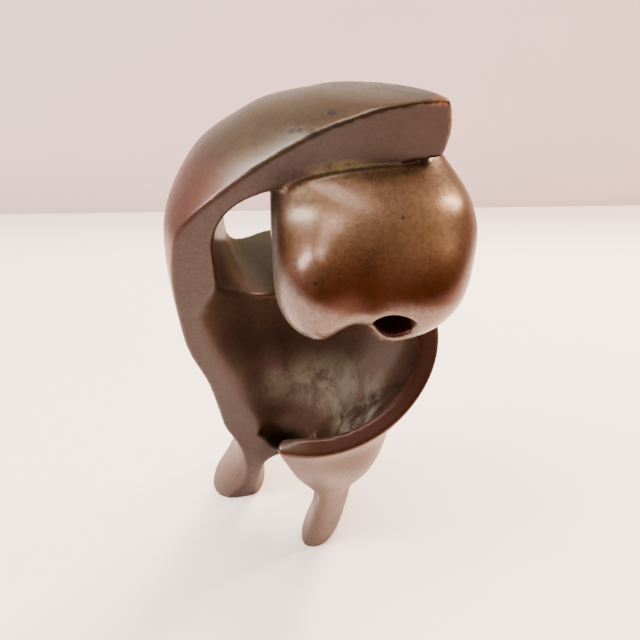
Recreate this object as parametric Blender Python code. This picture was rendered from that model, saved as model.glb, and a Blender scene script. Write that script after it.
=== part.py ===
"""Abstract bronze figure: a hooded mantle on two feet, open at the front.

One casting. The mantle rises from the left foot, arches over the top as a crest and
ends in a beak on the right. A round head hangs under the crest, clear of the open belly
below it, and the belly's right side narrows to the second foot.

The form is sculpted as a field of signed distances, negative inside the bronze, out of
lofted ovals, balls and cuts. One closed skin is then drawn where the field is zero.
Proportions are in grains, three-hundredths of the height. +X is right, +Y is back.
"""

import bpy
import numpy as np

# Driving dimensions, in metres
HEIGHT = 0.300
RIM_WALL = 0.009

# Faceting and finish
CELLS_HIGH = 200
TRIANGLES = 9400
BRONZE_COLOUR = (0.20, 0.095, 0.045, 1.0)
BRONZE_ROUGHNESS = 0.32

GRAINS = 300.0
GRAIN = HEIGHT / GRAINS
WALL = RIM_WALL / GRAIN

# Ovals of each mass by height: height, centre x, centre y, half width, half depth, and
# skew, how far the oval leans back for each grain to the right.
MANTLE = (
    (58, -18, 12, 14, 18, 0.0),
    (70, -17, 10, 24, 26, 0.0),
    (84, -15, 8, 32, 32, 0.0),
    (98, -15, 7, 39, 38, 0.0),
    (114, -12.7, 5.5, 45, 43, 0.0),
    (135, -9.5, 4.5, 51, 49, 0.0),
    (155, -4.7, 4, 57.9, 55, 0.0),
    (178, -3.3, 7, 64.8, 58, 0.0),
    (200, -6.5, 10, 64, 57, 0.0),
    (225, -9.5, 11, 61.5, 55, 0.0),
    (240, -8.2, 12, 62, 53, 0.0),
    (256, -3.5, 14, 62.5, 50, 0.0),
    (271, 4, 16, 60.5, 44, -0.1),
    (280, 10.5, 15.5, 57, 38, -0.12),
    (288, 18, 15, 50.5, 33, -0.15),
    (293.5, 24.5, 14, 44.5, 27, -0.15),
    (297, 30.5, 12, 36.5, 21, -0.15),
    (299.2, 36, 11, 25, 14, -0.15),
    (300, 39, 10, 12, 7, -0.15),
)
LEFT_LEG = (
    (-4, -65.5, 37.5, 20.8, 20, 0.0),
    (0, -65, 37.5, 20.3, 20, 0.0),
    (12, -61.5, 37.5, 17.6, 19.3, -0.1),
    (25, -57.7, 36, 14.8, 18, -0.3),
    (50, -51, 31, 12.8, 17.5, -0.55),
    (80, -43, 23.5, 16, 22.5, -0.5),
    (110, -39.5, 16, 18.5, 28, -0.4),
    (140, -34, 12, 15, 26, -0.2),
    (160, -30, 10, 12, 22, 0.0),
)
RIGHT_LEG = (
    (-4, 3, 5.5, 13.5, 26, 0.0),
    (0, 3, 5.5, 13.5, 26, 0.0),
    (10, 5, 5.5, 12.8, 25.5, 0.0),
    (20, 6.8, 5.5, 12, 25, 0.0),
    (35, 9, 5, 11.5, 24.5, 0.0),
    (50, 11.2, 4, 12, 25, 0.0),
    (70, 12, 2, 12.2, 27, 0.0),
    (90, 11.5, 0, 15.7, 31, 0.0),
    (105, 11.7, -1, 19.5, 35, 0.0),
    (120, 11.5, -2, 23.5, 38, 0.0),
    (140, 8, -2, 23, 37, 0.0),
    (155, 4, 0, 16, 28, 0.0),
)
BELLY = (
    (68, -23, 13, 13, 12, 0.0),
    (80, -20, 9.5, 20, 17, 0.0),
    (92, -16, 5, 24, 22, 0.0),
    (104, -12, 1, 26, 24, 0.0),
    (116, -8, -3, 31, 27, 0.0),
    (132, -3, -8, 37, 30, 0.0),
    (155, 1, -12, 43, 33, 0.0),
    (180, 3, -13, 48, 36, 0.0),
    (230, 5, -13, 50, 38, 0.0),
)
HEAD = (
    (203, 22, -12, 10, 8, 0.0),
    (209, 23, -12, 23, 20, 0.0),
    (218, 22.5, -10, 33.5, 31, 0.0),
    (230, 22, -7, 39.6, 35, 0.0),
    (243, 22.2, -3, 44.4, 34, 0.0),
    (256, 20.8, 2, 43.7, 31, 0.0),
    (265, 18, 6, 41, 26, 0.0),
    (272, 15.5, 9, 37, 18, 0.1),
    (278, 15, 12, 33, 8, 0.1),
)
# Ovals that round off the crest's right end and back, same columns.
CREST = (
    (215, -14, 6, 80, 78, 0.0),
    (235, -14, 5, 77, 72, 0.0),
    (255, -13, 3, 70, 62, 0.0),
    (270, -12, 0, 60.5, 50, 0.0),
    (284, -11, -3, 61.5, 40.5, 0.0),
    (296, -10, -5, 59, 34, 0.0),
    (304, -9, -6, 55, 30, 0.0),
)
# Left edge of the front panel, from the belly's tip down to the toe: height, x.
PANEL_EDGE = ((-4, -14), (0, -14), (34, -9), (50, -4), (62, -1.5), (76, -2.5), (108, -11), (155, -21.4), (180, -30))


def curve_through(knots, values):
    """A natural cubic spline through values at the knots, as a function of height."""
    t, v = np.asarray(knots, float), np.asarray(values, float)
    gap = np.diff(t)
    slope = np.diff(v) / gap
    count = len(t)
    system, right = np.eye(count), np.zeros(count)
    for i in range(1, count - 1):
        system[i, i - 1 : i + 2] = gap[i - 1], 2 * (gap[i - 1] + gap[i]), gap[i]
        right[i] = 6 * (slope[i] - slope[i - 1])
    bend = np.linalg.solve(system, right)

    def at(height):
        h = np.clip(height, t[0], t[-1])
        i = np.clip(np.searchsorted(t, h) - 1, 0, count - 2)
        below, above = h - t[i], t[i + 1] - h
        cubic = (bend[i] * above**3 + bend[i + 1] * below**3) / (6 * gap[i])
        start = (v[i] / gap[i] - bend[i] * gap[i] / 6) * above
        end = (v[i + 1] / gap[i] - bend[i + 1] * gap[i] / 6) * below
        return cubic + start + end

    return at


def ease(value, low, high):
    """0 below low, 1 above high, smooth in between."""
    share = np.clip((value - low) / (high - low), 0, 1)
    return share * share * (3 - 2 * share)


def join(a, b, blend):
    """Smooth union of two distances, filleted over the blend width."""
    overlap = np.maximum(blend - np.abs(a - b), 0) / blend
    return np.minimum(a, b) - overlap**2 * blend / 4


def common(a, b, blend):
    """Smooth intersection of two distances."""
    return -join(-a, -b, blend)


def carve(a, tool, blend):
    """Distance a with the tool cut away, its edge eased over the blend width."""
    return common(a, -tool, blend)


def column(x, y, z, ovals, fullness=2.0):
    """Distance to the side of a column of ovals, straight beyond its first and last."""
    table = np.array(ovals, float).T
    cx, cy, rx, ry, skew = (curve_through(table[0], row)(z) for row in table[1:])
    px = np.abs(x - cx) / rx
    py = np.abs(y - cy - skew * (x - cx)) / ry
    reach = (px**fullness + py**fullness) ** (1 / fullness) + 1e-9
    steep = np.sqrt((px ** (fullness - 1) / rx) ** 2 + (py ** (fullness - 1) / ry) ** 2)
    return (reach - 1) * reach ** (fullness - 1) / (steep + 1e-9)


def loft(x, y, z, ovals, fullness=2.0):
    """Distance to a column of ovals, closed at its first and last height."""
    ends = np.maximum(ovals[0][0] - z, z - ovals[-1][0])
    return np.maximum(column(x, y, z, ovals, fullness), ends)


def ball(x, y, z, centre, radii):
    """Distance to an ellipsoid."""
    p = [(v - c) for v, c in zip((x, y, z), centre)]
    reach = np.sqrt(sum((v / r) ** 2 for v, r in zip(p, radii))) + 1e-9
    steep = np.sqrt(sum((v / r**2) ** 2 for v, r in zip(p, radii))) + 1e-9
    return reach * (reach - 1) / steep


def rod(x, y, z, start, end, start_radius, end_radius):
    """Distance to a round-ended rod that tapers from start to end."""
    a, b = np.array(start, float), np.array(end, float)
    way = b - a
    share = sum((v - s) * w for v, s, w in zip((x, y, z), a, way)) / (way @ way)
    share = np.clip(share, 0, 1)
    near = sum((v - s - share * w) ** 2 for v, s, w in zip((x, y, z), a, way))
    return np.sqrt(near) - start_radius - share * (end_radius - start_radius)


def head(x, y, z):
    """Distance to the hanging head: two lobes, a flat left side, a notch and a hole below."""
    mass = loft(x, y, z, HEAD)
    left_lobe = ball(x, y, z, (1, -21, 234), (20, 25, 25))
    right_lobe = ball(x, y, z, (39, -16, 234), (22, 26, 21))
    mass = join(join(mass, left_lobe, 8), right_lobe, 8)
    mass = common(mass, -21.5 - x, 5)
    notch = rod(x, y, z, (17, -48, 219), (7, -8, 198), 8, 13)
    mass = carve(mass, notch, 8)
    hole = ball(x, y, z, (29.5, -40, 225.5), (8, 17, 5.5))
    return carve(mass, hole, 3)


def figure(x, y, z):
    """Distance to the whole casting."""
    face = y - (30.8 + 0.2 * x - 0.14 * z)
    mouth = common(z - 0.65 * y - 184.5, z - 0.28 * y - 192, 6)
    window_top = (z - 267.5 - 0.135 * (x + 20)) * 0.99
    window_left = -45.5 - x - 0.1 * (y + 9)
    window = common(window_top, window_left, 28)
    mantle = loft(x, y, z, MANTLE)
    mantle = common(mantle, column(x, y, z, CREST), 3)
    body = join(mantle, loft(x, y, z, LEFT_LEG, 2.6), 14)
    toe_in = 0.35 * (1 - ease(z, 45, 115)) * (y - 4)
    body = join(body, loft(x - toe_in, y, z, RIGHT_LEG, 2.4), 16)
    edge = x - curve_through(*np.array(PANEL_EDGE, float).T)(z)
    in_front = np.maximum(face, np.minimum(edge, -mouth))
    body = carve(body, in_front, 1.5)
    belly = np.maximum(loft(x, y, z, BELLY, 2.2), mantle + WALL)
    soft = 2 + 20 * (1 - ease(x, -36, -4)) * ease(z, 90, 140) * (1 - ease(z, 202, 224))
    body = carve(body, belly, soft)
    above_mouth = common(window, -mouth, 45 - 31 * ease(y, 4, 46))
    body = carve(body, above_mouth, 1.5)
    body = join(body, head(x, y, z), 2)
    return np.maximum(body, -z)


def thicken_pinches(field, cell):
    """Fill samples until the solid nowhere touches itself along an edge or at a corner."""
    while True:
        inside = field < 0
        fill = np.zeros(field.shape, bool)
        for u, v in ((0, 1), (1, 2), (0, 2)):
            corner = []
            for du in (0, 1):
                for dv in (0, 1):
                    at = [slice(None)] * 3
                    at[u] = slice(du, field.shape[u] - 1 + du)
                    at[v] = slice(dv, field.shape[v] - 1 + dv)
                    corner.append(tuple(at))
            a, b, c, d = (inside[at] for at in corner)
            pinched = (a == d) & (b == c) & (a != b)
            for at, is_inside in zip(corner, (a, b, c, d)):
                fill[at] |= pinched & ~is_inside
        if not fill.any():
            return field
        field = np.where(fill, -0.2 * cell, field)


def skin(field, cell, low):
    """Vertices and quads of the closed surface where a sampled field is zero."""
    inside = field < 0
    shape = np.array(field.shape) - 1
    corner = [(i, j, k) for i in (0, 1) for j in (0, 1) for k in (0, 1)]

    def shifted(values, offset):
        return values[tuple(slice(o, o + n) for o, n in zip(offset, shape))]

    filled = sum(shifted(inside, c).astype(np.int8) for c in corner)
    crossed = (filled > 0) & (filled < 8)
    cells = np.argwhere(crossed)
    number = np.full(crossed.shape, -1)
    number[crossed] = np.arange(len(cells))
    total, hits = np.zeros((len(cells), 3)), np.zeros(len(cells))
    for start in corner:
        for axis in range(3):
            if start[axis]:
                continue
            end = tuple(v + (i == axis) for i, v in enumerate(start))
            a = field[tuple((cells + start).T)]
            b = field[tuple((cells + end).T)]
            cut = (a < 0) != (b < 0)
            share = a[cut] / (a[cut] - b[cut])
            point = np.tile(np.array(start, float), (cut.sum(), 1))
            point[:, axis] += share
            total[cut] += point
            hits[cut] += 1
    points = low + (cells + total / hits[:, None]) * cell
    quads = []
    for axis in range(3):
        u, v = (axis + 1) % 3, (axis + 2) % 3
        step = np.eye(3, dtype=int)[axis]
        grid = np.argwhere(np.diff(inside, axis=axis))
        grid = grid[(grid[:, u] > 0) & (grid[:, v] > 0)]
        grid = grid[(grid[:, u] < shape[u]) & (grid[:, v] < shape[v])]
        back_u, back_v = np.eye(3, dtype=int)[u], np.eye(3, dtype=int)[v]
        around = (grid - back_u - back_v, grid - back_v, grid, grid - back_u)
        ring = np.stack([number[tuple(c.T)] for c in around], axis=1)
        leaving = inside[tuple(grid.T)] & ~inside[tuple((grid + step).T)]
        ring[~leaving] = ring[~leaving][:, ::-1]
        quads.append(ring)
    return points, np.concatenate(quads)


def surface():
    """Points, in grains, and quads of the casting's skin."""
    cell = GRAINS / CELLS_HIGH
    low, high = np.array([-96.0, -66.0, -8.0]), np.array([84.0, 82.0, 310.0])
    counts = np.ceil((high - low) / cell).astype(int) + 1
    across, along, up = (low[i] + cell * np.arange(counts[i]) for i in range(3))
    field = figure(across[:, None, None], along[None, :, None], up[None, None, :])
    return skin(thicken_pinches(field, cell), cell, low)


def middle(points):
    """The middle of the underside of the points' box."""
    lowest, highest = points.min(axis=0), points.max(axis=0)
    return np.array([*(lowest + highest)[:2] / 2, lowest[2]])


def cast_figure(collection):
    """The casting as one object, thinned to flat facets by a Decimate modifier."""
    points, quads = surface()
    points = (points - middle(points)) * GRAIN
    mesh = bpy.data.meshes.new("bronze_figure")
    mesh.from_pydata(points.tolist(), [], quads.tolist())
    mesh.update()
    body = bpy.data.objects.new("bronze_figure", mesh)
    collection.objects.link(body)
    thin = body.modifiers.new("facets", "DECIMATE")
    thin.ratio = min(1.0, TRIANGLES / (2 * len(quads)))
    return body


def bronze():
    material = bpy.data.materials.new("bronze")
    material.use_nodes = True
    shader = material.node_tree.nodes["Principled BSDF"]
    shader.inputs["Base Color"].default_value = BRONZE_COLOUR
    shader.inputs["Metallic"].default_value = 1.0
    shader.inputs["Roughness"].default_value = BRONZE_ROUGHNESS
    return material


def main():
    for old in list(bpy.data.objects):
        bpy.data.objects.remove(old)
    collection = bpy.data.collections.new("abstract_bronze_figure")
    bpy.context.scene.collection.children.link(collection)
    body = cast_figure(collection)
    body.data.materials.append(bronze())
    body.data.shade_smooth()


main()
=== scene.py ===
"""Abstract bronze figure in a pale studio: the casting at full fineness, with its patina and some painted
shade and reflections.

The figure is one casting, sculpted as a field of signed distances, negative inside the
bronze, out of lofted ovals, balls and cuts. Proportions are in grains, three-hundredths of
the height. +X is the figure's right as seen from the front, +Y its back.
"""

import math

import bpy
import numpy as np
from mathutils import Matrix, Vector


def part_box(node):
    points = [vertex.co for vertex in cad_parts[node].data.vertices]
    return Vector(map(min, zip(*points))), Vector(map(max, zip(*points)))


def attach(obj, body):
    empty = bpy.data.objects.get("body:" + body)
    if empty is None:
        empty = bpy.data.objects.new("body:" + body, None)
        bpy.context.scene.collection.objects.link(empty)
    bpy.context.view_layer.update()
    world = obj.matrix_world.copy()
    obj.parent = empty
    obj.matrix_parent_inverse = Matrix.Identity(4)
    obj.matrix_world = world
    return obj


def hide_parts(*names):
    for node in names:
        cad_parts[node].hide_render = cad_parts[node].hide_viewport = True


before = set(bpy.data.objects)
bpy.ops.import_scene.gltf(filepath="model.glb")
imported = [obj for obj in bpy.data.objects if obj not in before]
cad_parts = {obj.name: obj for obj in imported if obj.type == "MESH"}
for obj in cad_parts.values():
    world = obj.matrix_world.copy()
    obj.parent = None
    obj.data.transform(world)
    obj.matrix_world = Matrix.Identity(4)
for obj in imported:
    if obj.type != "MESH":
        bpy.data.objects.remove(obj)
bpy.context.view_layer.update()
FIGURE_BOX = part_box("bronze_figure")

# Sizes, in metres
HEIGHT = FIGURE_BOX[1][2] - FIGURE_BOX[0][2]
RIM_WALL = 0.009

GRAINS = 300.0
GRAIN = HEIGHT / GRAINS
WALL = RIM_WALL / GRAIN
CELLS_HIGH = 226

# The box that the field is sampled in, in grains
SAMPLE_LOW = (-96.0, -66.0, -8.0)
SAMPLE_HIGH = (84.0, 82.0, 310.0)

# Camera, in grains from the field's own origin, and the photo's frame in pixels
CAMERA_PLACE = (0.0, -190.0, 354.0)
CAMERA_PITCH = math.radians(40)
FRAME_PIXELS = 640
FOCAL_PIXELS = 500
SENSOR = 36.0

# The studio, in grains: the wall's distance, turn, half length and height, and the floor's reach
WALL_BACK = 488.0
WALL_TURN = math.radians(1.7)
WALL_REACH = 900.0
WALL_HEIGHT = 330.0
FLOOR_REACH = 6000.0
FLOOR_PAINT = (240, 214, 198)
WALL_PAINT = (220, 190, 186)

# Pits seen one by one on the crest and head, in grains: place and radius
SINGLE_PITS = (
    ((-10.2, -5.6, 289.8), 1.3),
    ((-7.3, -6.3, 290.4), 1.0),
    ((-2.5, -8.8, 290.5), 1.5),
    ((4.3, -3.5, 295.1), 1.4),
    ((31.5, -21.7, 262.7), 0.9),
    ((-1.5, -42.2, 247.0), 0.8),
)
# Marks of the patina, and a patch of painted shade in the groove between the legs, in grains: centre and
# radii
RED_SHOULDER = ((-50.0, -6.0, 256.0), (20.0, 22.0, 22.0))
RESIDUE_IN_BOWL = ((6.0, 4.0, 124.0), (36.0, 34.0, 27.0))
VERDIGRIS_SMEAR = ((7.0, -6.5, 275.0), (13.0, 6.0, 3.4))
# Painted shade: where the groove between the legs is darkened as if in shadow
SHADE_IN_GROOVE = ((-24.0, 17.0, 62.0), (19.0, 12.0, 22.0))
WORN_BEAK = ((48.0, 0.0, 294.0), (8.0, 10.0, 9.0))

# How far the patina's tones are taken down under the studio's light: red, green, blue
PATINA_SHARES = (0.36, 0.27, 0.19)
# Tones of the zones, as seen on a screen: where the clouds or flecks are dark, and where pale
FLANK = ((110, 76, 60), (130, 92, 72))
CREST_OLIVE = ((94, 76, 52), (112, 92, 62))
# Mauve-brown patina of the legs, lightened to paint in the pale floor's reflection
LEG_MAUVE_AND_FLOOR_REFLECTION = ((146, 134, 140), (166, 154, 158))
BAND_GREY = ((90, 84, 94), (106, 98, 106))
BELLY_BROWN = ((102, 82, 74), (122, 100, 92))
TUNNEL_GREEN = ((66, 60, 44), (88, 82, 60))
RIM_RED = ((88, 50, 34), (108, 62, 42))
HEAD_ORANGE = ((112, 54, 8), (128, 66, 12))
HEAD_OLIVE = ((146, 112, 84), (162, 128, 96))
# Tones of single marks, with a painted reflection for the head's lobes and painted shade for the groove
SHOULDER_RED = (122, 54, 30)
BAND_RIGHT = (86, 70, 64)
HEAD_SIDE = (72, 48, 36)
# Painted reflection: the pale floor as mirrored on the undersides of the head's lobes
LOBE_FLOOR_REFLECTION = (206, 204, 216)
FLECK = (60, 44, 36)
CREASE_DUST = (112, 116, 92)
CHALK = (206, 218, 216)
VERDIGRIS = (156, 158, 128)
# Painted shade for the groove between the legs
GROOVE_SHADE = (44, 32, 26)
WORN = (206, 156, 124)
PIT = (46, 34, 28)
SINGLE_PIT = (52, 40, 34)

# The plane of the front band, in grains: how far back it stands at the middle of the floor,
# and how far it moves back for each grain to the right and for each grain up
FACE_BACK = 30.8
FACE_TURN = 0.2
FACE_LEAN = -0.14
# The belly's mouth, steep in front and flatter behind: height at the middle, and rise for
# each grain back
MOUTH_FRONT = (184.5, 0.65)
MOUTH_BACK = (192, 0.28)
# The window under the crest: the height of its top and how that rises to the right, and the
# place of its left side and how that splays to the back
WINDOW_TOP, WINDOW_RISE = 267.5, 0.135
WINDOW_LEFT, WINDOW_SPLAY = -45.5, 0.1
# The head's lobes and hole: centre and radii. Its notch: start, end and the radius at each
LEFT_LOBE = ((1, -21, 234), (20, 25, 25))
RIGHT_LOBE = ((39, -16, 234), (22, 26, 21))
HEAD_HOLE = ((29.5, -40, 225.5), (8, 17, 5.5))
HEAD_NOTCH = ((17, -48, 219), (7, -8, 198), 8, 13)
HEAD_LEFT = -21.5

# Ovals of each mass by height: height, centre x, centre y, half width, half depth, and
# skew, how far the oval leans back for each grain to the right.
MANTLE = (
    (58, -18, 12, 14, 18, 0.0),
    (70, -17, 10, 24, 26, 0.0),
    (84, -15, 8, 32, 32, 0.0),
    (98, -15, 7, 39, 38, 0.0),
    (114, -12.7, 5.5, 45, 43, 0.0),
    (135, -9.5, 4.5, 51, 49, 0.0),
    (155, -4.7, 4, 57.9, 55, 0.0),
    (178, -3.3, 7, 64.8, 58, 0.0),
    (200, -6.5, 10, 64, 57, 0.0),
    (225, -9.5, 11, 61.5, 55, 0.0),
    (240, -8.2, 12, 62, 53, 0.0),
    (256, -3.5, 14, 62.5, 50, 0.0),
    (271, 4, 16, 60.5, 44, -0.1),
    (280, 10.5, 15.5, 57, 38, -0.12),
    (288, 18, 15, 50.5, 33, -0.15),
    (293.5, 24.5, 14, 44.5, 27, -0.15),
    (297, 30.5, 12, 36.5, 21, -0.15),
    (299.2, 36, 11, 25, 14, -0.15),
    (300, 39, 10, 12, 7, -0.15),
)
LEFT_LEG = (
    (-4, -65.5, 37.5, 20.8, 20, 0.0),
    (0, -65, 37.5, 20.3, 20, 0.0),
    (12, -61.5, 37.5, 17.6, 19.3, -0.1),
    (25, -57.7, 36, 14.8, 18, -0.3),
    (50, -51, 31, 12.8, 17.5, -0.55),
    (80, -43, 23.5, 16, 22.5, -0.5),
    (110, -39.5, 16, 18.5, 28, -0.4),
    (140, -34, 12, 15, 26, -0.2),
    (160, -30, 10, 12, 22, 0.0),
)
RIGHT_LEG = (
    (-4, 3, 5.5, 13.5, 26, 0.0),
    (0, 3, 5.5, 13.5, 26, 0.0),
    (10, 5, 5.5, 12.8, 25.5, 0.0),
    (20, 6.8, 5.5, 12, 25, 0.0),
    (35, 9, 5, 11.5, 24.5, 0.0),
    (50, 11.2, 4, 12, 25, 0.0),
    (70, 12, 2, 12.2, 27, 0.0),
    (90, 11.5, 0, 15.7, 31, 0.0),
    (105, 11.7, -1, 19.5, 35, 0.0),
    (120, 11.5, -2, 23.5, 38, 0.0),
    (140, 8, -2, 23, 37, 0.0),
    (155, 4, 0, 16, 28, 0.0),
)
BELLY = (
    (68, -23, 13, 13, 12, 0.0),
    (80, -20, 9.5, 20, 17, 0.0),
    (92, -16, 5, 24, 22, 0.0),
    (104, -12, 1, 26, 24, 0.0),
    (116, -8, -3, 31, 27, 0.0),
    (132, -3, -8, 37, 30, 0.0),
    (155, 1, -12, 43, 33, 0.0),
    (180, 3, -13, 48, 36, 0.0),
    (230, 5, -13, 50, 38, 0.0),
)
HEAD = (
    (203, 22, -12, 10, 8, 0.0),
    (209, 23, -12, 23, 20, 0.0),
    (218, 22.5, -10, 33.5, 31, 0.0),
    (230, 22, -7, 39.6, 35, 0.0),
    (243, 22.2, -3, 44.4, 34, 0.0),
    (256, 20.8, 2, 43.7, 31, 0.0),
    (265, 18, 6, 41, 26, 0.0),
    (272, 15.5, 9, 37, 18, 0.1),
    (278, 15, 12, 33, 8, 0.1),
)
# Ovals that round off the crest's right end and back, same columns.
CREST = (
    (215, -14, 6, 80, 78, 0.0),
    (235, -14, 5, 77, 72, 0.0),
    (255, -13, 3, 70, 62, 0.0),
    (270, -12, 0, 60.5, 50, 0.0),
    (284, -11, -3, 61.5, 40.5, 0.0),
    (296, -10, -5, 59, 34, 0.0),
    (304, -9, -6, 55, 30, 0.0),
)
# Left edge of the front panel, from the belly's tip down to the toe: height, x.
PANEL_EDGE = (
    (-4, -14), (0, -14), (34, -9), (50, -4), (62, -1.5), (76, -2.5), (108, -11), (155, -21.4), (180, -30),
)


def curve_through(knots, values):
    """A natural cubic spline through values at the knots, as a function of height."""
    t, v = np.asarray(knots, float), np.asarray(values, float)
    gap = np.diff(t)
    slope = np.diff(v) / gap
    count = len(t)
    system, right = np.eye(count), np.zeros(count)
    for i in range(1, count - 1):
        system[i, i - 1 : i + 2] = gap[i - 1], 2 * (gap[i - 1] + gap[i]), gap[i]
        right[i] = 6 * (slope[i] - slope[i - 1])
    bend = np.linalg.solve(system, right)

    def at(height):
        h = np.clip(height, t[0], t[-1])
        i = np.clip(np.searchsorted(t, h) - 1, 0, count - 2)
        below, above = h - t[i], t[i + 1] - h
        cubic = (bend[i] * above**3 + bend[i + 1] * below**3) / (6 * gap[i])
        start = (v[i] / gap[i] - bend[i] * gap[i] / 6) * above
        end = (v[i + 1] / gap[i] - bend[i + 1] * gap[i] / 6) * below
        return cubic + start + end

    return at


def ease(value, low, high):
    """0 below low, 1 above high, smooth in between."""
    share = np.clip((value - low) / (high - low), 0, 1)
    return share * share * (3 - 2 * share)


def join(a, b, blend):
    """Smooth union of two distances, filleted over the blend width."""
    overlap = np.maximum(blend - np.abs(a - b), 0) / blend
    return np.minimum(a, b) - overlap**2 * blend / 4


def common(a, b, blend):
    """Smooth intersection of two distances."""
    return -join(-a, -b, blend)


def carve(a, tool, blend):
    """Distance a with the tool cut away, its edge eased over the blend width."""
    return common(a, -tool, blend)


def column(x, y, z, ovals, fullness=2.0):
    """Distance to the side of a column of ovals, straight beyond its first and last."""
    table = np.array(ovals, float).T
    cx, cy, rx, ry, skew = (curve_through(table[0], row)(z) for row in table[1:])
    px = np.abs(x - cx) / rx
    py = np.abs(y - cy - skew * (x - cx)) / ry
    reach = (px**fullness + py**fullness) ** (1 / fullness) + 1e-9
    steep = np.sqrt((px ** (fullness - 1) / rx) ** 2 + (py ** (fullness - 1) / ry) ** 2)
    return (reach - 1) * reach ** (fullness - 1) / (steep + 1e-9)


def loft(x, y, z, ovals, fullness=2.0):
    """Distance to a column of ovals, closed at its first and last height."""
    ends = np.maximum(ovals[0][0] - z, z - ovals[-1][0])
    return np.maximum(column(x, y, z, ovals, fullness), ends)


def ball(x, y, z, centre, radii):
    """Distance to an ellipsoid."""
    p = [(v - c) for v, c in zip((x, y, z), centre)]
    reach = np.sqrt(sum((v / r) ** 2 for v, r in zip(p, radii))) + 1e-9
    steep = np.sqrt(sum((v / r**2) ** 2 for v, r in zip(p, radii))) + 1e-9
    return reach * (reach - 1) / steep


def rod(x, y, z, start, end, start_radius, end_radius):
    """Distance to a round-ended rod that tapers from start to end."""
    a, b = np.array(start, float), np.array(end, float)
    way = b - a
    share = sum((v - s) * w for v, s, w in zip((x, y, z), a, way)) / (way @ way)
    share = np.clip(share, 0, 1)
    near = sum((v - s - share * w) ** 2 for v, s, w in zip((x, y, z), a, way))
    return np.sqrt(near) - start_radius - share * (end_radius - start_radius)


def head(x, y, z):
    """Distance to the hanging head: two lobes, a flat left side, a notch and a hole below."""
    mass = loft(x, y, z, HEAD)
    mass = join(mass, ball(x, y, z, *LEFT_LOBE), 8)
    mass = join(mass, ball(x, y, z, *RIGHT_LOBE), 8)
    mass = common(mass, HEAD_LEFT - x, 5)
    mass = carve(mass, rod(x, y, z, *HEAD_NOTCH), 8)
    return carve(mass, ball(x, y, z, *HEAD_HOLE), 3)


def front_face(x, y, z):
    """Distance to the plane of the front band, negative in front of it."""
    return y - (FACE_BACK + FACE_TURN * x + FACE_LEAN * z)


def belly_mouth(y, z):
    """Height above the mouth of the belly, negative below it."""
    front = z - MOUTH_FRONT[1] * y - MOUTH_FRONT[0]
    back = z - MOUTH_BACK[1] * y - MOUTH_BACK[0]
    return common(front, back, 6)


def crest_window(x, y, z):
    """Distance to the window under the crest, which is open to the right and below."""
    top = (z - WINDOW_TOP - WINDOW_RISE * (x + 20)) * 0.99
    left = WINDOW_LEFT - x - WINDOW_SPLAY * (y + 9)
    return common(top, left, 28)


def figure(x, y, z):
    """Distance to the whole casting."""
    face = front_face(x, y, z)
    mouth = belly_mouth(y, z)
    mantle = loft(x, y, z, MANTLE)
    mantle = common(mantle, column(x, y, z, CREST), 3)
    body = join(mantle, loft(x, y, z, LEFT_LEG, 2.6), 14)
    toe_in = 0.35 * (1 - ease(z, 45, 115)) * (y - 4)
    body = join(body, loft(x - toe_in, y, z, RIGHT_LEG, 2.4), 16)
    edge = x - curve_through(*np.array(PANEL_EDGE, float).T)(z)
    in_front = np.maximum(face, np.minimum(edge, -mouth))
    body = carve(body, in_front, 1.5)
    belly = np.maximum(loft(x, y, z, BELLY, 2.2), mantle + WALL)
    soft = 2 + 20 * (1 - ease(x, -36, -4)) * ease(z, 90, 140) * (1 - ease(z, 202, 224))
    body = carve(body, belly, soft)
    above_mouth = common(crest_window(x, y, z), -mouth, 45 - 31 * ease(y, 4, 46))
    body = carve(body, above_mouth, 1.5)
    body = join(body, head(x, y, z), 2)
    return np.maximum(body, -z)


def thicken_pinches(field, cell):
    """Fill samples until the solid nowhere touches itself along an edge or at a corner."""
    while True:
        inside = field < 0
        fill = np.zeros(field.shape, bool)
        for u, v in ((0, 1), (1, 2), (0, 2)):
            corner = []
            for du in (0, 1):
                for dv in (0, 1):
                    at = [slice(None)] * 3
                    at[u] = slice(du, field.shape[u] - 1 + du)
                    at[v] = slice(dv, field.shape[v] - 1 + dv)
                    corner.append(tuple(at))
            a, b, c, d = (inside[at] for at in corner)
            pinched = (a == d) & (b == c) & (a != b)
            for at, is_inside in zip(corner, (a, b, c, d)):
                fill[at] |= pinched & ~is_inside
        if not fill.any():
            return field
        field = np.where(fill, -0.2 * cell, field)


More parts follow.
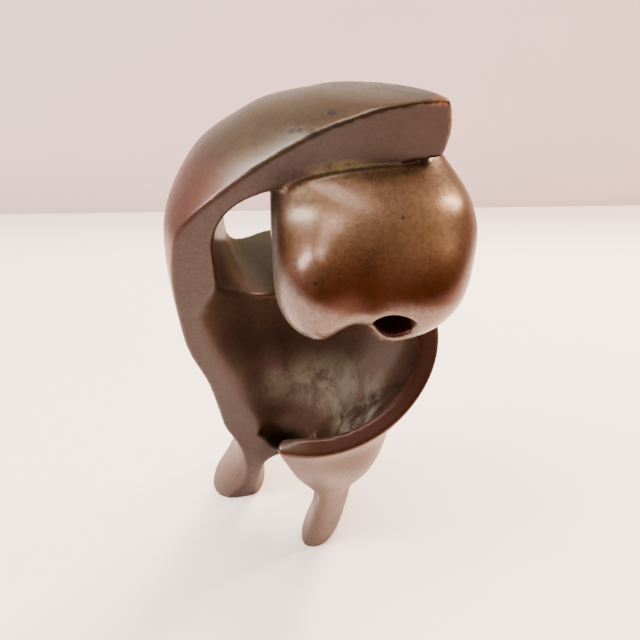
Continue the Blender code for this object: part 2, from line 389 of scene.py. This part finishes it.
def skin(field, cell, low):
    """Vertices and quads of the closed surface where a sampled field is zero."""
    inside = field < 0
    shape = np.array(field.shape) - 1
    corner = [(i, j, k) for i in (0, 1) for j in (0, 1) for k in (0, 1)]

    def shifted(values, offset):
        return values[tuple(slice(o, o + n) for o, n in zip(offset, shape))]

    filled = sum(shifted(inside, c).astype(np.int8) for c in corner)
    crossed = (filled > 0) & (filled < 8)
    cells = np.argwhere(crossed)
    number = np.full(crossed.shape, -1)
    number[crossed] = np.arange(len(cells))
    total, hits = np.zeros((len(cells), 3)), np.zeros(len(cells))
    for start in corner:
        for axis in range(3):
            if start[axis]:
                continue
            end = tuple(v + (i == axis) for i, v in enumerate(start))
            a = field[tuple((cells + start).T)]
            b = field[tuple((cells + end).T)]
            cut = (a < 0) != (b < 0)
            share = a[cut] / (a[cut] - b[cut])
            point = np.tile(np.array(start, float), (cut.sum(), 1))
            point[:, axis] += share
            total[cut] += point
            hits[cut] += 1
    points = low + (cells + total / hits[:, None]) * cell
    quads = []
    for axis in range(3):
        u, v = (axis + 1) % 3, (axis + 2) % 3
        step = np.eye(3, dtype=int)[axis]
        grid = np.argwhere(np.diff(inside, axis=axis))
        grid = grid[(grid[:, u] > 0) & (grid[:, v] > 0)]
        grid = grid[(grid[:, u] < shape[u]) & (grid[:, v] < shape[v])]
        back_u, back_v = np.eye(3, dtype=int)[u], np.eye(3, dtype=int)[v]
        around = (grid - back_u - back_v, grid - back_v, grid, grid - back_u)
        ring = np.stack([number[tuple(c.T)] for c in around], axis=1)
        leaving = inside[tuple(grid.T)] & ~inside[tuple((grid + step).T)]
        ring[~leaving] = ring[~leaving][:, ::-1]
        quads.append(ring)
    return points, np.concatenate(quads)


def gradient(field, x, y, z, reach):
    """Slopes of a field along each axis, over twice the reach."""
    return np.stack([
        field(x + reach, y, z) - field(x - reach, y, z),
        field(x, y + reach, z) - field(x, y - reach, z),
        field(x, y, z + reach) - field(x, y, z - reach),
    ], axis=1) / (2 * reach)


def surface():
    """Points, in grains, and quads of the casting's skin, settled onto the field's zero."""
    cell = GRAINS / CELLS_HIGH
    low, high = np.array(SAMPLE_LOW), np.array(SAMPLE_HIGH)
    counts = np.ceil((high - low) / cell).astype(int) + 1
    across, along, up = (low[i] + cell * np.arange(counts[i]) for i in range(3))
    field = figure(across[:, None, None], along[None, :, None], up[None, None, :])
    points, quads = skin(thicken_pinches(field, cell), cell, low)
    for _ in range(2):
        x, y, z = points.T
        slope = gradient(figure, x, y, z, 0.25)
        step = figure(x, y, z) / (np.sum(slope**2, axis=1) + 0.05)
        move = np.clip(step, -0.6, 0.6)[:, None] * slope
        points = points - 0.9 * move
    return points, quads


def zones(points):
    """Where each finish of the casting lies, and where the head's lobes take a painted reflection, as
    values from 0 to 1 on its points.
    """
    x, y, z = points.T
    slope = gradient(figure, x, y, z, 0.5)
    normal = slope / (np.linalg.norm(slope, axis=1, keepdims=True) + 1e-9)
    front = np.array([FACE_TURN, -1.0, FACE_LEAN])
    front /= np.linalg.norm(front)
    face = front_face(x, y, z)
    mouth = belly_mouth(y, z)
    mantle = loft(x, y, z, MANTLE)
    head_skin = 1 - ease(head(x, y, z), 0.5, 1.5)
    band = ease(normal @ front, 0.75, 0.95) * (1 - ease(np.abs(face), 0.8, 2.5)) * (1 - head_skin)
    rim = (1 - ease(np.abs(mouth), 0.6, 2.0)) * ease(normal[:, 2], 0.4, 0.7) * (1 - head_skin)
    rim *= ease(x + y / 3, -30, -15)
    tunnel = ease(mouth, -1.0, 1.0) * (1 - ease(mantle, -3.5, -1.5)) * ease(y, 12, 30)
    ledge = (1 - ease(np.abs(mouth), 1.0, 4.0)) * ease(y, 4, 24) * ease(normal[:, 2], 0.3, 0.6)
    tunnel = np.maximum(tunnel, ledge) * (1 - head_skin) * (1 - band)
    rim *= 1 - tunnel
    cavity = (1 - ease(mantle, -4.0, -1.5)) * (1 - band) * (1 - head_skin) * (1 - tunnel) * (1 - rim)
    # Down-facing skin of the head's lobes, where a reflection of the pale floor is painted in
    lobes = head_skin * (1 - ease(normal[:, 2] + 0.3 * normal[:, 0], 0.04, 0.3))
    lobes *= 1 - ease(y, -12, 8)
    bend = np.zeros(len(x))
    reach = 2.5
    here = figure(x, y, z)
    for offset in np.eye(3) * reach:
        bend += figure(x + offset[0], y + offset[1], z + offset[2])
        bend += figure(x - offset[0], y - offset[1], z - offset[2])
    bend = (bend - 6 * here) / reach
    return {
        "head": head_skin,
        "band": band,
        "cavity": cavity,
        "rim": rim,
        "tunnel": tunnel,
        "lobes": lobes,
        "edge": ease(bend, 0.5, 1.8),
        "crease": ease(-bend, 0.4, 1.8),
    }


def casting():
    """The figure as one fine mesh, fitted to the frame's box, with its zones stored on it."""
    points, quads = surface()
    masks = zones(points)
    lowest, highest = points.min(axis=0), points.max(axis=0)
    box_low, box_high = np.array(FIGURE_BOX[0]), np.array(FIGURE_BOX[1])
    placed = box_low + (points - lowest) / (highest - lowest) * (box_high - box_low)
    mesh = bpy.data.meshes.new("bronze_casting")
    mesh.from_pydata(placed.tolist(), [], quads.tolist())
    mesh.update()
    for name, values in masks.items():
        layer = mesh.attributes.new(name, "FLOAT", "POINT")
        layer.data.foreach_set("value", values.astype(np.float32))
    grains = mesh.attributes.new("grains", "FLOAT_VECTOR", "POINT")
    grains.data.foreach_set("vector", points.astype(np.float32).ravel())
    figure_object = bpy.data.objects.new("bronze_casting", mesh)
    bpy.context.scene.collection.objects.link(figure_object)
    mesh.shade_smooth()
    middle = np.array([*(lowest + highest)[:2] / 2, lowest[2]])
    return figure_object, middle


class Sketch:
    """A node tree in the making: adds nodes, sets their values and wires their inputs."""

    def __init__(self, tree):
        self.tree = tree
        tree.nodes.clear()

    def give(self, socket, value):
        """Feed an input with another node's output, or with a value of its own."""
        if isinstance(value, bpy.types.NodeSocket):
            self.tree.links.new(value, socket)
        else:
            socket.default_value = value

    def node(self, kind, inputs=None, **settings):
        made = self.tree.nodes.new(kind)
        for name, value in settings.items():
            setattr(made, name, value)
        for name, value in (inputs or {}).items():
            self.give(made.inputs[name], value)
        return made

    def placed(self, group, inputs):
        """An effect's group, with this material's own values."""
        return self.node("ShaderNodeGroup", inputs, node_tree=group)

    def maths(self, operation, a, b, clamp=False):
        made = self.node("ShaderNodeMath", {0: a, 1: b}, operation=operation, use_clamp=clamp)
        return made.outputs[0]

    def plus(self, a, b):
        return self.maths("ADD", a, b)

    def times(self, a, b):
        return self.maths("MULTIPLY", a, b)

    def spread(self, value, low, high, new_low=0.0, new_high=1.0):
        """A value eased from new_low at low to new_high at high."""
        made = self.node("ShaderNodeMapRange", {
            "Value": value, "From Min": low, "From Max": high, "To Min": new_low, "To Max": new_high,
        }, interpolation_type="SMOOTHSTEP")
        return made.outputs["Result"]

    def mix(self, share, a, b):
        """Colour a where the share is 0, and b where it is 1."""
        made = self.node("ShaderNodeMix", data_type="RGBA")
        colours = [socket for socket in made.inputs if socket.type == "RGBA"]
        for socket, value in zip((made.inputs["Factor"], *colours), (share, a, b)):
            self.give(socket, value)
        return next(socket for socket in made.outputs if socket.type == "RGBA")

    def cloudy(self, share, tones):
        """A zone's tone, from its dark one to its pale one."""
        dark, pale = tones
        return self.mix(share, toned(*dark), toned(*pale))

    def noise(self, place, scale, detail=4.0, roughness=0.55, distortion=0.0):
        return self.node("ShaderNodeTexNoise", {
            "Vector": place, "Scale": scale, "Detail": detail, "Roughness": roughness,
            "Distortion": distortion,
        }).outputs["Fac"]

    def layer(self, name, output="Fac"):
        """What the mesh holds under a name: a zone's mask, or the place in grains."""
        return self.node("ShaderNodeAttribute", attribute_name=name).outputs[output]

    def near(self, place, centre, radii, soft):
        """A mask around a centre, in grains, fading out over the soft share of the radii."""
        offset = self.node("ShaderNodeVectorMath", {0: place, 1: centre}, operation="SUBTRACT")
        shares = self.node("ShaderNodeVectorMath", {0: offset.outputs[0], 1: radii}, operation="DIVIDE")
        reach = self.node("ShaderNodeVectorMath", {0: shares.outputs[0]}, operation="LENGTH")
        return self.spread(reach.outputs["Value"], 1 - soft, 1 + soft, 1.0, 0.0)


def effect(name, inputs, outputs):
    """A node group with named inputs (name, kind, default) and outputs (name, kind)."""
    group = bpy.data.node_groups.new(name, "ShaderNodeTree")
    for socket_name, kind, default in inputs:
        socket = group.interface.new_socket(socket_name, in_out="INPUT", socket_type=kind)
        if default is not None:
            socket.default_value = default
    for socket_name, kind in outputs:
        group.interface.new_socket(socket_name, in_out="OUTPUT", socket_type=kind)
    sketch = Sketch(group)
    given = sketch.node("NodeGroupInput").outputs
    return group, sketch, given, sketch.node("NodeGroupOutput").inputs


def srgb(red, green, blue):
    """A colour as seen on a screen, 0 to 255, as the linear values that a shader takes."""
    shares = [v / 255 for v in (red, green, blue)]
    linear = [((v + 0.055) / 1.055) ** 2.4 if v > 0.04 else v / 12.92 for v in shares]
    return (*linear, 1.0)


def toned(red, green, blue):
    """A tone of the patina: its look on the screen, taken down for the strong studio light."""
    return (*(v * share for v, share in zip(srgb(red, green, blue), PATINA_SHARES)), 1.0)


def mottling_effect():
    """Broad clouds and fine flecks in the patina."""
    group, s, given, result = effect(
        "patina mottling",
        [("Place", "NodeSocketVector", None), ("Cloud Scale", "NodeSocketFloat", 1.0),
         ("Fleck Scale", "NodeSocketFloat", 1.0)],
        [("Clouds", "NodeSocketFloat"), ("Flecks", "NodeSocketFloat")],
    )
    clouds = s.noise(given["Place"], given["Cloud Scale"], 6, 0.6, 0.6)
    flecks = s.noise(given["Place"], given["Fleck Scale"], 5, 0.7)
    s.give(result["Clouds"], s.spread(clouds, 0.3, 0.7))
    s.give(result["Flecks"], s.spread(flecks, 0.32, 0.68))
    return group


def pits_effect():
    """Small casting pits: a mask that is 1 in a pit, and the height they take off."""
    group, s, given, result = effect(
        "casting pits",
        [("Place", "NodeSocketVector", None), ("Scale", "NodeSocketFloat", 1.0),
         ("Amount", "NodeSocketFloat", 0.5)],
        [("Pits", "NodeSocketFloat"), ("Height", "NodeSocketFloat")],
    )
    cells = s.node("ShaderNodeTexVoronoi", {
        "Vector": given["Place"], "Scale": given["Scale"], "Randomness": 1.0})
    pit = s.spread(cells.outputs["Distance"], 0.05, 0.17, 1.0, 0.0)
    chosen = s.noise(given["Place"], 0.045, 3, 0.6)
    limit = s.maths("SUBTRACT", 0.72, s.times(given["Amount"], 0.3))
    pits = s.times(pit, s.maths("GREATER_THAN", chosen, limit))
    s.give(result["Pits"], pits)
    s.give(result["Height"], s.times(pits, -1.0))
    return group


def scratches_effect():
    """Long faint rubbing marks, as a value around 0.5."""
    group, s, given, result = effect(
        "rubbing marks",
        [("Place", "NodeSocketVector", None), ("Scale", "NodeSocketFloat", 1.0)],
        [("Marks", "NodeSocketFloat")],
    )
    turned = s.node("ShaderNodeMapping", {
        "Vector": given["Place"], "Rotation": (0.3, 0.5, 0.9), "Scale": (1.0, 0.12, 1.0)})
    s.give(result["Marks"], s.noise(turned.outputs["Vector"], given["Scale"], 3, 0.75))
    return group


def outer_tones(s, place, legs, clouds):
    """The outer skin: red-brown flank, olive crest, red shoulder and mauve-brown legs lightened with a
    painted reflection of the pale floor.
    """
    x, _, z = s.node("ShaderNodeSeparateXYZ", {0: place}).outputs
    tone = s.mix(s.spread(z, 262, 284), s.cloudy(clouds, FLANK), s.cloudy(clouds, CREST_OLIVE))
    shoulder = s.near(place, *RED_SHOULDER, 0.6)
    tone = s.mix(s.times(shoulder, 0.7), tone, toned(*SHOULDER_RED))
    # Mauve-brown patina down the legs, with the pale floor's reflection painted in
    tone = s.mix(legs, tone, s.cloudy(clouds, LEG_MAUVE_AND_FLOOR_REFLECTION))
    band = s.mix(s.spread(x, 0, 30), s.cloudy(clouds, BAND_GREY), toned(*BAND_RIGHT))
    return s.mix(s.layer("band"), tone, band)


def hollow_tones(s, tone, clouds, flecks):
    """The belly, the passage behind the window, and the rim."""
    tone = s.mix(s.layer("cavity"), tone, s.cloudy(clouds, BELLY_BROWN))
    tone = s.mix(s.layer("tunnel"), tone, s.cloudy(flecks, TUNNEL_GREEN))
    return s.mix(s.layer("rim"), tone, s.cloudy(flecks, RIM_RED))


def head_tones(s, place, tone, clouds):
    """The head: olive at the top, orange-brown below, dark on its flat side, and a painted reflection of
    the pale floor on the lobes' undersides.
    """
    x, _, z = s.node("ShaderNodeSeparateXYZ", {0: place}).outputs
    low, high = s.cloudy(clouds, HEAD_ORANGE), s.cloudy(clouds, HEAD_OLIVE)
    head_tone = s.mix(s.spread(z, 240, 264), low, high)
    flat_side = s.times(s.spread(x, -10, -19), s.spread(z, 236, 252))
    head_tone = s.mix(s.times(flat_side, 0.75), head_tone, toned(*HEAD_SIDE))
    tone = s.mix(s.layer("head"), tone, head_tone)
    # Painted reflection of the pale floor on the undersides of the lobes
    return s.mix(s.times(s.layer("lobes"), 0.75), tone, toned(*LOBE_FLOOR_REFLECTION))


def chalky_residue(s, place):
    """Where the pale residue lies in the bowl of the belly, in wisps."""
    stretched = s.node("ShaderNodeMapping", {"Vector": place, "Scale": (1.0, 1.0, 0.45)})
    wisps = s.noise(stretched.outputs["Vector"], 0.075, 9, 0.7, 0.7)
    bowl = s.near(place, *RESIDUE_IN_BOWL, 0.45)
    return s.times(s.times(bowl, s.spread(wisps, 0.40, 0.62)), s.layer("cavity"))


def deposits(s, place, tone, dust, crease, residue):
    """Dust in creases, chalk in the bowl, verdigris under the crest, and painted shade in the groove
    between the legs.
    """
    tone = s.mix(s.times(crease, 0.25), tone, toned(*CREASE_DUST))
    tone = s.mix(s.times(residue, 0.8), tone, toned(*CHALK))
    smear = s.times(s.near(place, *VERDIGRIS_SMEAR, 0.5), s.layer("band"))
    tone = s.mix(s.times(smear, s.spread(dust, 0.35, 0.6)), tone, toned(*VERDIGRIS))
    # Painted shade: the groove between the legs is darkened where it lies in shadow
    groove_shade = s.near(place, *SHADE_IN_GROOVE, 0.3)
    return s.mix(s.times(groove_shade, 0.85), tone, toned(*GROOVE_SHADE))


def worn_edges(s, place, tone, flecks):
    """Bright metal on the edges: faint all over, and plain at the crest's beak."""
    rubbed = s.times(s.layer("edge"), s.spread(flecks, 0.2, 0.8, 0.35, 1.0))
    beak = s.near(place, *WORN_BEAK, 0.5)
    rubbed = s.maths("MAXIMUM", s.times(rubbed, 0.08), s.times(rubbed, beak))
    return s.mix(rubbed, tone, toned(*WORN))


def single_pits(s, place):
    """A mask of the pits that are seen one by one."""
    mask = 0.0
    for centre, radius in SINGLE_PITS:
        mask = s.maths("ADD", mask, s.near(place, centre, (radius,) * 3, 0.5), clamp=True)
    return mask


def patina_roughness(s, clouds, marks, residue, legs):
    """Smooth on the head, duller in the hollows, on residue and down the legs."""
    rough = s.spread(clouds, 0.0, 1.0, 0.30, 0.40)
    rough = s.plus(rough, s.spread(marks, 0.3, 0.7, -0.04, 0.06))
    duller = ((s.layer("cavity"), 0.16), (s.layer("tunnel"), 0.15), (residue, 0.25), (legs, 0.12))
    for mask, more in duller:
        rough = s.plus(rough, s.times(mask, more))
    return s.maths("SUBTRACT", rough, s.times(s.layer("head"), 0.05), clamp=True)


def casting_relief(s, place, pit_height, marks, single):
    """The unevenness of the cast skin, as a bump for the shader's normal."""
    fine, swell = s.noise(place, 1.6, 3, 0.6), s.noise(place, 0.12, 3, 0.5)
    relief = s.plus(s.times(fine, 0.05), s.times(swell, 0.5))
    relief = s.plus(relief, s.times(pit_height, 0.35))
    relief = s.plus(relief, s.times(marks, 0.06))
    relief = s.maths("SUBTRACT", relief, s.times(single, 0.25))
    bump = s.node("ShaderNodeBump", {"Strength": 0.35, "Distance": GRAIN, "Height": relief})
    return bump.outputs["Normal"]


def bronze_patina(mottling, pits, scratches):
    """The casting's finish: patina by zones, deposits, wear and pits, under a thin wax, with painted
    shade in the groove and painted reflections on the head's lobes and the legs.
    """
    material = bpy.data.materials.new("bronze_patina")
    material.use_nodes = True
    s = Sketch(material.node_tree)
    place = s.layer("grains", "Vector")
    legs = s.spread(s.node("ShaderNodeSeparateXYZ", {0: place}).outputs["Z"], 150, 60)
    patina = s.placed(mottling, {"Place": place, "Cloud Scale": 0.022, "Fleck Scale": 0.5})
    clouds, flecks = patina.outputs["Clouds"], patina.outputs["Flecks"]
    pit = s.placed(pits, {"Place": place, "Scale": 0.42, "Amount": 0.1})
    marks = s.placed(scratches, {"Place": place, "Scale": 0.9}).outputs["Marks"]
    dust = s.noise(place, 0.16, 6, 0.7, 1.2)
    crease = s.times(s.layer("crease"), s.spread(dust, 0.4, 0.62))
    residue = chalky_residue(s, place)
    single = single_pits(s, place)

    tone = outer_tones(s, place, legs, clouds)
    tone = hollow_tones(s, tone, clouds, flecks)
    tone = head_tones(s, place, tone, clouds)
    tone = s.mix(s.spread(flecks, 0.0, 1.0, 0.0, 0.34), tone, toned(*FLECK))
    tone = deposits(s, place, tone, dust, crease, residue)
    tone = worn_edges(s, place, tone, flecks)
    pitted = s.times(pit.outputs["Pits"], s.spread(s.layer("head"), 0.0, 1.0, 0.7, 0.1))
    tone = s.mix(pitted, tone, toned(*PIT))
    tone = s.mix(s.times(single, 0.75), tone, toned(*SINGLE_PIT))

    metal = s.maths("SUBTRACT", 0.6, s.times(residue, 0.5))
    metal = s.maths("SUBTRACT", metal, s.times(crease, 0.3), clamp=True)
    shader = s.node("ShaderNodeBsdfPrincipled", {
        "Base Color": tone,
        "Roughness": patina_roughness(s, clouds, marks, residue, legs),
        "Metallic": metal,
        "Normal": casting_relief(s, place, pit.outputs["Height"], marks, single),
        "Coat Weight": s.spread(legs, 0.0, 1.0, 0.3, 0.05),
        "Coat Roughness": 0.25,
        "Specular IOR Level": 0.35,
        "Specular Tint": (0.8, 0.68, 0.6, 1.0),
    })
    s.node("ShaderNodeOutputMaterial", {"Surface": shader.outputs[0]})
    return material


def paper(name, colour, mottling):
    """A matt painted surface with faint unevenness."""
    material = bpy.data.materials.new(name)
    material.use_nodes = True
    s = Sketch(material.node_tree)
    place = s.node("ShaderNodeTexCoord").outputs["Object"]
    uneven = s.placed(mottling, {"Place": place, "Cloud Scale": 3.0, "Fleck Scale": 120.0})
    darker = tuple(v * 0.97 for v in colour[:3]) + (1.0,)
    tone = s.mix(uneven.outputs["Clouds"], darker, colour)
    shader = s.node("ShaderNodeBsdfPrincipled", {"Base Color": tone, "Roughness": 0.6})
    s.node("ShaderNodeOutputMaterial", {"Surface": shader.outputs[0]})
    return material


def plane(name, corners, material):
    """One flat sheet of the studio."""
    mesh = bpy.data.meshes.new(name)
    mesh.from_pydata(corners, [], [tuple(range(len(corners)))])
    mesh.materials.append(material)
    made = bpy.data.objects.new(name, mesh)
    bpy.context.scene.collection.objects.link(made)
    return made


def studio(middle, mottling):
    """The pale floor and the wall behind, where the photo has them."""
    def metres(x, y, z):
        return tuple((np.array([x, y, z]) - middle) * GRAIN)

    sides = ((-1, -1), (1, -1), (1, 1), (-1, 1))
    floor_corners = [metres(FLOOR_REACH * x, FLOOR_REACH * y, 0) for x, y in sides]
    floor = plane("floor", floor_corners, paper("floor_paint", srgb(*FLOOR_PAINT), mottling))
    drift = WALL_REACH * math.tan(WALL_TURN)
    left, right = (-WALL_REACH, WALL_BACK - drift), (WALL_REACH, WALL_BACK + drift)
    wall_corners = [
        metres(*right, 0), metres(*left, 0), metres(*left, WALL_HEIGHT), metres(*right, WALL_HEIGHT),
    ]
    wall = plane("wall", wall_corners, paper("wall_paint", srgb(*WALL_PAINT), mottling))


def soft_light(name, place, target, size, power, colour):
    """A rectangular light aimed at a target: places and size in metres, power in watts."""
    data = bpy.data.lights.new(name, "AREA")
    data.shape = "RECTANGLE"
    data.size, data.size_y = size
    data.energy = power
    data.color = colour
    light = bpy.data.objects.new(name, data)
    light.location = place
    light.rotation_euler = (Vector(target) - Vector(place)).to_track_quat("-Z", "Y").to_euler()
    bpy.context.scene.collection.objects.link(light)
    return light


def lighting():
    """A room pale to the left and behind and dark towards the viewer, with five soft lights."""
    world = bpy.data.worlds.new("soft_room")
    world.use_nodes = True
    s = Sketch(world.node_tree)
    way = s.node("ShaderNodeTexCoord").outputs["Generated"]
    side = s.node("ShaderNodeVectorMath", {0: way, 1: (-0.72, 0.6, 0.35)}, operation="DOT_PRODUCT")
    glow = s.spread(side.outputs["Value"], -0.5, 0.8, 0.15, 1.8)
    room = s.node("ShaderNodeBackground", {"Strength": glow, "Color": (1.0, 0.93, 0.88, 1.0)})
    s.node("ShaderNodeOutputWorld", {"Surface": room.outputs[0]})
    bpy.context.scene.world = world
    fill = soft_light("ceiling", (-0.1, 0.3, 1.8), (0, 0.3, 0), (1.4, 1.4), 42.0, (1.0, 0.95, 0.9))
    key = soft_light("key", (0.5, 0.7, 1.25), (0, 0.1, 0), (0.4, 0.4), 58.0, (1.0, 0.95, 0.9))
    fill.visible_glossy = key.visible_glossy = False
    soft_light("window", (-0.85, -0.15, 1.12), (0, 0, 0.27), (0.4, 0.7), 34.0, (0.76, 0.88, 1.0))
    soft_light("overhead", (-0.12, -0.15, 1.5), (0, 0, 0.25), (0.5, 0.4), 9.0, (0.92, 0.95, 1.0))
    soft_light("lamp_right", (0.95, 0.3, 0.89), (0, 0, 0.26), (0.12, 0.4), 18.0, (1.0, 0.84, 0.66))


def camera(middle):
    """The photo's camera."""
    data = bpy.data.cameras.new("camera")
    data.sensor_width = SENSOR
    data.lens = SENSOR * FOCAL_PIXELS / FRAME_PIXELS
    view = bpy.data.objects.new("camera", data)
    view.location = (np.array(CAMERA_PLACE) - middle) * GRAIN
    view.rotation_euler = (math.pi / 2 - CAMERA_PITCH, 0, 0)
    bpy.context.scene.collection.objects.link(view)
    bpy.context.scene.camera = view


def main():
    """Cast, finish and light the figure, set up its studio and place the camera."""
    mottling = mottling_effect()
    figure_object, middle = casting()
    figure_object.data.materials.append(bronze_patina(mottling, pits_effect(), scratches_effect()))
    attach(figure_object, "root")
    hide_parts("bronze_figure")
    studio(middle, mottling)
    lighting()
    camera(middle)


main()
